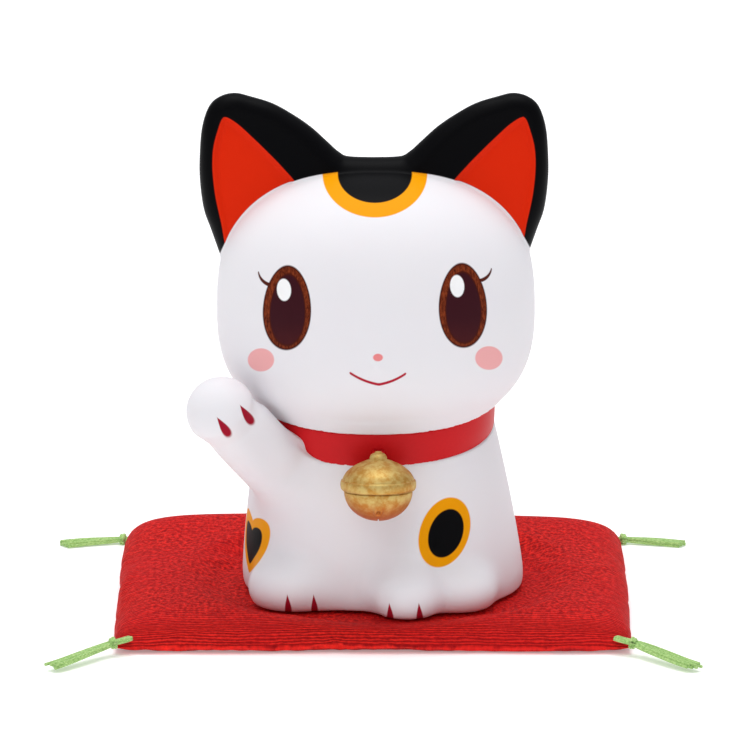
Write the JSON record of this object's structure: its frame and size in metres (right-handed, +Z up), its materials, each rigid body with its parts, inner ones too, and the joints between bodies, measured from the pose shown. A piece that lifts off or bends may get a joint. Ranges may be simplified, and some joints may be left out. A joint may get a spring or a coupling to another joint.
{
  "type": "beckoning cat figurine on a cushion",
  "caption": "Hollow white beckoning cat figurine with a turning head, a red collar and a hanging jingle bell, sitting on a red crepe cushion with corner tassels.",
  "frame": {"origin": "centre of the cushion's flat underside", "axes": "+Z up, -Y towards the side the cat faces, +X towards the cat's left side"},
  "size_m": [0.1362, 0.1032, 0.1123],
  "materials": {
    "crepe": "matte",
    "wadding": "matte",
    "yarn": "matte",
    "body_vinyl": "satin",
    "plug_vinyl": "matte",
    "collar_vinyl": "satin",
    "collar_cord": "satin",
    "head_vinyl": "satin",
    "gilt": "satin",
    "pellet_steel": "satin"
  },
  "bodies": {
    "cushion": {"cushion_top_cover": "crepe", "cushion_bottom_cover": "crepe", "cushion_filling": "wadding", "tassel_front_right": "yarn", "tassel_front_left": "yarn", "tassel_rear_right": "yarn", "tassel_rear_left": "yarn"},
    "figure": {"body_shell": "body_vinyl", "base_plug": "plug_vinyl", "collar_band": "collar_vinyl", "bell_loop": "collar_cord"},
    "head": {"head_shell": "head_vinyl"},
    "bell": {"bell_upper_shell": "gilt", "bell_lower_shell": "gilt"},
    "pellet": {"bell_pellet": "pellet_steel"}
  },
  "joints": [
    {"name": "figure_lift", "type": "slide", "parent": "cushion", "child": "figure", "axis": [0, 0, 1], "range_m": [0, 0.03]},
    {"name": "head_turn", "type": "hinge", "parent": "figure", "child": "head", "pos_m": [0.0006, -0.007, 0.0418], "axis": [0, -0.1908, 0.9816], "range_deg": [-30, 8]},
    {"name": "bell_swing", "type": "hinge", "parent": "figure", "child": "bell", "pos_m": [0.0011, -0.03722, 0.0407], "axis": [-1, 0, 0], "range_deg": [0, 45]},
    {"name": "pellet_roll", "type": "hinge", "parent": "bell", "child": "pellet", "pos_m": [0.0011, -0.03791, 0.03504], "axis": [1, 0, 0], "range_deg": [-25, 25]}
  ]
}
